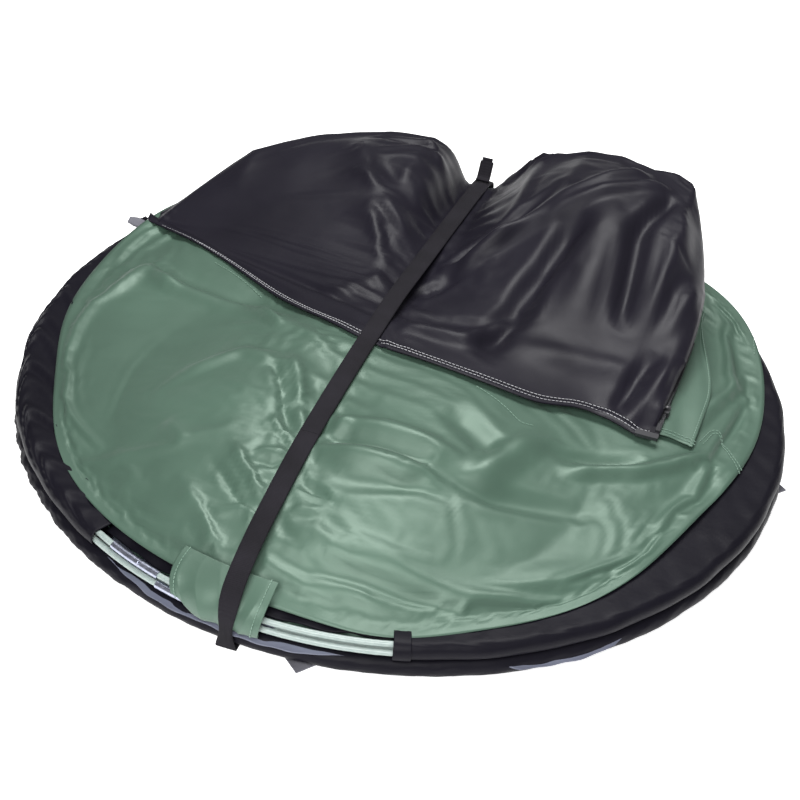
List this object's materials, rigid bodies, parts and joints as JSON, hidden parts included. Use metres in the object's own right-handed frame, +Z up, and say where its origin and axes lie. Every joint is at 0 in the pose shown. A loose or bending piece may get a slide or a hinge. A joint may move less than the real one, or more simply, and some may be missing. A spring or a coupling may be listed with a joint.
{
  "type": "folded pop up tent",
  "caption": "Spring-hoop tent folded into its flat round pack: coiled rods in cloth sleeves, loose canopy and door cloth, held by a webbing strap.",
  "frame": {"origin": "centre of the round pack, on the surface it lies on", "axes": "+Z up; +Y along the strap from the rod tab to the strap's free end; +X to the right"},
  "size_m": [0.8128, 0.8145, 0.1598],
  "materials": {
    "canopy_cloth": "coated polyester, silky",
    "door_cloth": "coated polyester, silky",
    "sleeve_cloth": "polyester, soft sheen",
    "inner_cloth": "thin polyester",
    "groundsheet_cloth": "coated oxford cloth",
    "strap_webbing": "woven webbing",
    "grey_webbing": "coarse woven webbing",
    "hook_and_loop": "hook and loop pile",
    "fibreglass": "pale translucent, glossy",
    "ferrule_steel": "plated tube",
    "zip_tape": "woven tape",
    "zip_plastic": "moulded coil",
    "zip_metal": "black paint"
  },
  "bodies": {
    "root": {"groundsheet": "groundsheet_cloth", "folded_inner_layers": "inner_cloth", "lower_sleeve": "sleeve_cloth", "lower_hoop_rod_1": "fibreglass", "lower_hoop_rod_2": "fibreglass", "lower_hoop_rod_3": "fibreglass", "lower_hoop_rod_4": "fibreglass", "lower_hoop_rod_5": "fibreglass", "lower_hoop_rod_6": "fibreglass", "lower_hoop_ferrule_1": "ferrule_steel", "lower_hoop_ferrule_2": "ferrule_steel", "lower_hoop_ferrule_3": "ferrule_steel", "lower_hoop_ferrule_4": "ferrule_steel", "lower_hoop_ferrule_5": "ferrule_steel", "lower_hoop_ferrule_6": "ferrule_steel", "strap_under_run": "strap_webbing", "strap_loop_patch": "hook_and_loop", "peg_loop_front": "grey_webbing", "peg_loop_right": "grey_webbing", "peg_loop_rear": "grey_webbing", "peg_loop_left": "grey_webbing"},
    "upper_leaf": {"canopy_panel": "canopy_cloth", "upper_sleeve": "sleeve_cloth", "upper_hoop_rod_1": "fibreglass", "upper_hoop_rod_2": "fibreglass", "upper_hoop_rod_3": "fibreglass", "upper_hoop_rod_4": "fibreglass", "upper_hoop_rod_5": "fibreglass", "upper_hoop_rod_6": "fibreglass", "upper_hoop_ferrule_1": "ferrule_steel", "upper_hoop_ferrule_2": "ferrule_steel", "upper_hoop_ferrule_3": "ferrule_steel", "upper_hoop_ferrule_4": "ferrule_steel", "upper_hoop_ferrule_5": "ferrule_steel", "upper_hoop_ferrule_6": "ferrule_steel", "rod_tab": "canopy_cloth", "rod_cuff": "sleeve_cloth", "door_panel_left": "door_cloth", "hem_webbing_tab": "grey_webbing", "storm_flap": "canopy_cloth", "strap_front_turn": "strap_webbing"},
    "strap_mid": {"strap_mid_run": "strap_webbing"},
    "strap_rear": {"strap_rear_run": "strap_webbing", "strap_hook_patch": "hook_and_loop", "strap_pull_tab": "strap_webbing"},
    "door_wing": {"door_panel_right": "door_cloth", "zip_tape": "zip_tape", "zip_coil": "zip_plastic", "zip_end_stop": "zip_plastic"},
    "zip_slider": {"zip_slider": "zip_metal"},
    "zip_pull": {"zip_pull": "zip_metal"}
  },
  "joints": [
    {"name": "leaf_open", "type": "hinge", "parent": "root", "child": "upper_leaf", "pos_m": [0, -0.404, 0.004], "axis": [1, 0, 0], "range_deg": [0, 28.75]},
    {"name": "strap_lift", "type": "hinge", "parent": "upper_leaf", "child": "strap_mid", "pos_m": [-0.035, -0.388, 0.061], "axis": [1, 0, 0], "range_deg": [0, 115]},
    {"name": "strap_curl", "type": "hinge", "parent": "strap_mid", "child": "strap_rear", "pos_m": [-0.035, 0, 0.104], "axis": [1, 0, 0], "range_deg": [0, 63.25]},
    {"name": "door_wing_lift", "type": "hinge", "parent": "upper_leaf", "child": "door_wing", "pos_m": [-0.012, -0.036, 0.106], "axis": [0, -0.9935, 0.1136], "range_deg": [0, 70]},
    {"name": "zip_slide", "type": "slide", "parent": "door_wing", "child": "zip_slider", "axis": [0, 1, 0], "range_m": [-0.026, 0.12]},
    {"name": "zip_pull_swing", "type": "hinge", "parent": "zip_slider", "child": "zip_pull", "pos_m": [0.271, 0.02, 0.0772], "axis": [1, 0, 0], "range_deg": [0, 150]}
  ],
  "couplings": [
    {"joint": "leaf_open", "follows": "strap_lift", "ratio": 0.25},
    {"joint": "strap_curl", "follows": "strap_lift", "ratio": 0.55}
  ]
}
